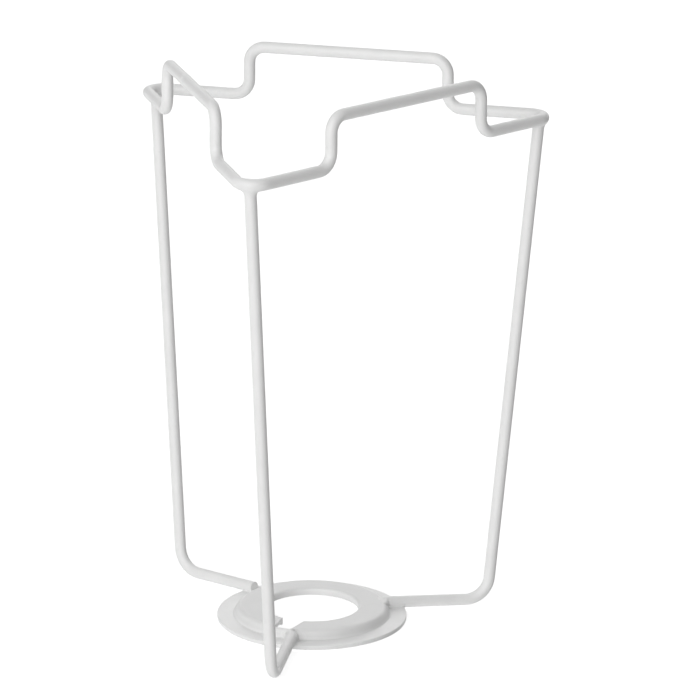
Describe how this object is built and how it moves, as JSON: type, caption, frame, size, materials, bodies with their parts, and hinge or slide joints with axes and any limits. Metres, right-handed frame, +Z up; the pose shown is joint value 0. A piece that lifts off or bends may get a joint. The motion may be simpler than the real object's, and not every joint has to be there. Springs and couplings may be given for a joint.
{
  "type": "lampshade carrier",
  "caption": "Coated wire lampshade carrier: a triangular top loop with raised sides on tapering bent legs, welded to a pressed ring that clamps round a lampholder.",
  "frame": {"origin": "on the axis of the lampholder bore, level with the lower edge of its lip, where the lampholder's shoulder seats", "axes": "+Z up along the bore to the shade end; -Y towards the front leg; +X to the right leg's side"},
  "size_m": [0.1314, 0.1156, 0.1769],
  "materials": {
    "wire_coating": "satin off-white epoxy powder coat on drawn steel wire",
    "ring_coating": "satin off-white epoxy powder coat on pressed steel sheet",
    "weld_coating": "satin off-white epoxy powder coat pooled over weld metal"
  },
  "bodies": {
    "root": {"top_wire": "wire_coating", "leg_front": "wire_coating", "leg_right": "wire_coating", "leg_left": "wire_coating", "lampholder_ring": "ring_coating", "top_weld_front": "weld_coating", "top_weld_right": "weld_coating", "top_weld_left": "weld_coating", "ring_weld_front": "weld_coating", "ring_weld_right": "weld_coating", "ring_weld_left": "weld_coating", "loop_butt_weld": "weld_coating"}
  },
  "joints": []
}
